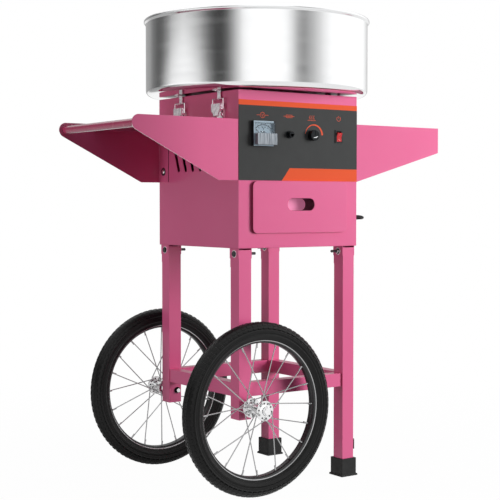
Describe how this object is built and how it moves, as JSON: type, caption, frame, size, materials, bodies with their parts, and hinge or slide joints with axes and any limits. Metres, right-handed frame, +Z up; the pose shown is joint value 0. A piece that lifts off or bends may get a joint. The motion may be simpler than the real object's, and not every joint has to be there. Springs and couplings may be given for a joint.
{
  "type": "cotton candy cart",
  "caption": "Cotton candy machine on a wheeled stand: open steel bowl with a spinning head over a square cabinet with gauges and a drawer, and a tray on each side.",
  "frame": {"origin": "on the floor under the middle of the cabinet", "axes": "+Z up, -Y out of the control panel and drawer front, +X towards the plain tray, -X towards the handle tray and the wheels"},
  "size_m": [0.8435, 0.52, 1.0462],
  "materials": {
    "pink_paint": "gloss powder coat",
    "panel_grey": "satin paint with orange bands",
    "steel": "bright rolled stainless steel",
    "bowl_steel": "polished stainless steel",
    "zinc": "bright zinc plate",
    "chrome": "chrome plate",
    "tyre": "black tread and sidewall",
    "rubber": "matte black rubber",
    "black_steel": "blackened steel",
    "motor_paint": "satin enamel",
    "black_plastic": "moulded, fine grain",
    "gloss_black": "moulded, glossy",
    "white_dial": "printed dial",
    "needle_red": "thin painted pointer",
    "window": "clear and frosted window",
    "rocker_red": "translucent red, glossy",
    "cord_black": "matte black jacket"
  },
  "bodies": {
    "stand_and_cabinet": {"long_legs": "pink_paint", "short_legs": "pink_paint", "rails": "pink_paint", "feet": "rubber", "leg_brackets": "pink_paint", "leg_bolts": "black_steel", "axles": "zinc", "cabinet_shell": "pink_paint", "cabinet_top": "pink_paint", "cabinet_base": "pink_paint", "cabinet_back": "pink_paint", "body_screws": "zinc", "control_panel": "panel_grey", "drawer_slides": "zinc", "handle_tray": "pink_paint", "handle_bar": "pink_paint", "plain_tray": "pink_paint", "bowl": "bowl_steel", "bowl_pads": "rubber", "latch_keepers": "zinc", "latch_bases": "zinc", "motor": "motor_paint", "motor_bracket": "zinc", "voltmeter_case": "black_plastic", "voltmeter_dial": "white_dial", "voltmeter_cover": "window", "fuse_holder": "gloss_black", "heat_control": "zinc", "switch_body": "black_plastic", "cord_gland": "cord_black", "cord_run": "cord_black", "cord_hank": "cord_black", "cord_tie": "cord_black", "cord_plug": "cord_black"},
    "front_wheel": {"tyre_front": "tyre", "rim_front": "chrome", "hub_front": "steel", "spokes_front": "chrome"},
    "back_wheel": {"tyre_back": "tyre", "rim_back": "chrome", "hub_back": "steel", "spokes_back": "chrome"},
    "drawer": {"drawer_front": "pink_paint", "drawer_box": "steel"},
    "spinner": {"spindle": "steel", "spinner_pan": "steel", "heater_ring": "steel", "spinner_cap": "steel"},
    "needle": {"voltmeter_needle": "needle_red"},
    "fuse": {"fuse_cap": "gloss_black"},
    "knob": {"heat_knob": "gloss_black"},
    "rocker": {"switch_rocker": "rocker_red"},
    "lever_1": {"latch_lever_1": "zinc"},
    "bail_1": {"latch_bail_1": "zinc"},
    "lever_2": {"latch_lever_2": "zinc"},
    "bail_2": {"latch_bail_2": "zinc"},
    "lever_3": {"latch_lever_3": "zinc"},
    "bail_3": {"latch_bail_3": "zinc"},
    "lever_4": {"latch_lever_4": "zinc"},
    "bail_4": {"latch_bail_4": "zinc"}
  },
  "joints": [
    {"name": "front_wheel_spin", "type": "hinge", "parent": "stand_and_cabinet", "child": "front_wheel", "pos_m": [-0.139, -0.201, 0.187], "axis": [0, 1, 0], "continuous": true},
    {"name": "back_wheel_spin", "type": "hinge", "parent": "stand_and_cabinet", "child": "back_wheel", "pos_m": [-0.139, 0.201, 0.187], "axis": [0, 1, 0], "continuous": true},
    {"name": "drawer_slide", "type": "slide", "parent": "stand_and_cabinet", "child": "drawer", "axis": [0, -1, 0], "range_m": [0, 0.22]},
    {"name": "spinner_spin", "type": "hinge", "parent": "stand_and_cabinet", "child": "spinner", "pos_m": [0, 0, 0.9], "axis": [0, 0, 1], "continuous": true},
    {"name": "needle_swing", "type": "hinge", "parent": "stand_and_cabinet", "child": "needle", "pos_m": [-0.1015, -0.1692, 0.7665], "axis": [0, 1, 0], "range_deg": [0, 90]},
    {"name": "fuse_turn", "type": "hinge", "parent": "stand_and_cabinet", "child": "fuse", "pos_m": [-0.03, -0.167, 0.7775], "axis": [0, -1, 0], "range_deg": [0, 45]},
    {"name": "knob_turn", "type": "hinge", "parent": "stand_and_cabinet", "child": "knob", "pos_m": [0.033, -0.167, 0.7775], "axis": [0, 1, 0], "range_deg": [-135, 135]},
    {"name": "rocker_tilt", "type": "hinge", "parent": "stand_and_cabinet", "child": "rocker", "pos_m": [0.11, -0.1615, 0.7775], "axis": [1, 0, 0], "range_deg": [-20, 0]},
    {"name": "lever_1_swing", "type": "hinge", "parent": "stand_and_cabinet", "child": "lever_1", "pos_m": [-0.172, -0.095, 0.838], "axis": [0, 1, 0], "range_deg": [0, 105]},
    {"name": "bail_1_swing", "type": "hinge", "parent": "lever_1", "child": "bail_1", "pos_m": [-0.17075, -0.095, 0.83213], "axis": [0, 1, 0], "range_deg": [-85.05, 0]},
    {"name": "lever_2_swing", "type": "hinge", "parent": "stand_and_cabinet", "child": "lever_2", "pos_m": [-0.172, 0.062, 0.838], "axis": [0, 1, 0], "range_deg": [0, 105]},
    {"name": "bail_2_swing", "type": "hinge", "parent": "lever_2", "child": "bail_2", "pos_m": [-0.17075, 0.062, 0.83213], "axis": [0, 1, 0], "range_deg": [-85.05, 0]},
    {"name": "lever_3_swing", "type": "hinge", "parent": "stand_and_cabinet", "child": "lever_3", "pos_m": [0.172, -0.095, 0.838], "axis": [0, -1, 0], "range_deg": [0, 105]},
    {"name": "bail_3_swing", "type": "hinge", "parent": "lever_3", "child": "bail_3", "pos_m": [0.17075, -0.095, 0.83213], "axis": [0, -1, 0], "range_deg": [-85.05, 0]},
    {"name": "lever_4_swing", "type": "hinge", "parent": "stand_and_cabinet", "child": "lever_4", "pos_m": [0.172, 0.062, 0.838], "axis": [0, -1, 0], "range_deg": [0, 105]},
    {"name": "bail_4_swing", "type": "hinge", "parent": "lever_4", "child": "bail_4", "pos_m": [0.17075, 0.062, 0.83213], "axis": [0, -1, 0], "range_deg": [-85.05, 0]}
  ],
  "couplings": [
    {"joint": "bail_1_swing", "follows": "lever_1_swing", "ratio": -0.81},
    {"joint": "bail_2_swing", "follows": "lever_2_swing", "ratio": -0.81},
    {"joint": "bail_3_swing", "follows": "lever_3_swing", "ratio": -0.81},
    {"joint": "bail_4_swing", "follows": "lever_4_swing", "ratio": -0.81}
  ]
}
